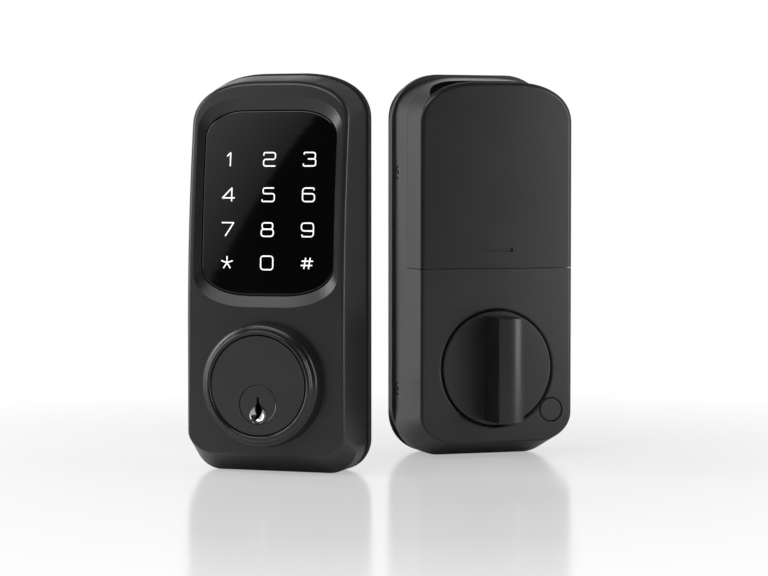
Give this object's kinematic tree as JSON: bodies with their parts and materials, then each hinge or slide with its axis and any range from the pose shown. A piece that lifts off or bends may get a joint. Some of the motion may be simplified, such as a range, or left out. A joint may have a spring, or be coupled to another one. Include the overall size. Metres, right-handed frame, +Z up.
{
  "type": "keypad smart lock",
  "caption": "Keypad smart lock for a door: an outside half with a touch keypad and key cylinder, and an inside half with batteries, motor and thumb turn.",
  "frame": {"origin": "middle of the foot of the box that holds both halves, on the surface that they stand on", "axes": "+Z up, -Y out of the keypad half's front; the battery half's front is turned 36 degrees from -Y towards +X"},
  "size_m": [0.1278, 0.1322, 0.151],
  "materials": {
    "casing": "satin black paint on die-cast zinc",
    "lens": "polished black glass-like panel",
    "rubber": "matt black moulded rubber",
    "steel": "zinc plated steel",
    "black_steel": "black oxide steel",
    "brass": "turned brass",
    "black_metal": "satin black plated metal",
    "black_plastic": "fine-grained black plastic",
    "housing": "satin black painted die casting",
    "white_plastic": "milky light sheet",
    "board": "green solder mask",
    "chip": "moulded chip",
    "acetal": "natural acetal",
    "cell": "printed metal jacket",
    "nickel": "nickel plate"
  },
  "bodies": {
    "keypad_unit": {"front_casing": "casing", "door_gasket": "rubber", "door_plate": "steel", "plate_screws": "black_steel", "mounting_posts": "steel", "cable_grommet": "rubber", "buzzer": "black_plastic", "keypad_lens": "lens", "lens_seal": "rubber", "keypad_frame": "black_plastic", "light_guide": "white_plastic", "keypad_board": "board", "keypad_chips": "chip", "keypad_screws": "steel", "cylinder_collar": "black_metal", "cylinder_barrel": "black_metal", "barrel_cap": "brass", "barrel_screws": "steel", "driver_pins": "brass", "pin_springs": "nickel"},
    "key_plug": {"key_plug": "black_metal", "key_pins": "brass", "plug_clip": "steel", "tailpiece": "steel"},
    "battery_unit": {"inner_housing": "housing", "inner_gasket": "rubber", "mounting_plate": "black_metal", "side_screws": "black_steel", "battery_tray": "black_plastic", "battery_cells": "cell", "contact_springs": "nickel", "contact_plates": "nickel", "main_board": "board", "radio_module": "chip", "main_board_screws": "steel", "hub_bush": "acetal", "gear_chassis": "black_plastic", "chassis_screws": "steel", "gear_bridge": "steel", "bridge_screws": "steel", "idler_axle": "steel", "motor": "steel", "button_switch": "chip", "switch_board": "board"},
    "battery_cover": {"battery_cover": "housing"},
    "thumb_turn": {"thumb_turn": "housing", "spindle_hub": "brass", "drive_gear": "brass"},
    "idler": {"compound_gear": "acetal"},
    "motor_rotor": {"motor_shaft": "steel", "motor_pinion": "brass"},
    "set_button": {"set_button": "black_plastic", "switch_plunger": "acetal"}
  },
  "joints": [
    {"name": "halves_slide", "type": "slide", "parent": "keypad_unit", "child": "battery_unit", "axis": [1, 0, 0], "range_m": [0, 0.06]},
    {"name": "key_turn", "type": "hinge", "parent": "keypad_unit", "child": "key_plug", "pos_m": [-0.0304, -0.03315, 0.0265], "axis": [0, -1, 0], "range_deg": [-90, 90]},
    {"name": "cover_slide", "type": "slide", "parent": "battery_unit", "child": "battery_cover", "axis": [0, 0, 1], "range_m": [0, 0.08]},
    {"name": "thumb_turn", "type": "hinge", "parent": "battery_unit", "child": "thumb_turn", "pos_m": [0.0172, 0.04646, 0.0354], "axis": [0.5878, -0.809, 0], "range_deg": [-90, 90]},
    {"name": "idler_spin", "type": "hinge", "parent": "battery_unit", "child": "idler", "pos_m": [0.0172, 0.04646, 0.0562], "axis": [0.5878, -0.809, 0], "range_deg": [-310, 310]},
    {"name": "motor_spin", "type": "hinge", "parent": "battery_unit", "child": "motor_rotor", "pos_m": [0.02731, 0.0538, 0.0562], "axis": [0.5878, -0.809, 0], "range_deg": [-1210, 1210]},
    {"name": "set_press", "type": "slide", "parent": "battery_unit", "child": "set_button", "axis": [-0.5878, 0.809, 0], "range_m": [0, 0.0005], "stiffness_N_per_m": 300}
  ],
  "couplings": [
    {"joint": "idler_spin", "follows": "thumb_turn", "ratio": -3.3333},
    {"joint": "motor_spin", "follows": "thumb_turn", "ratio": 13.333}
  ]
}
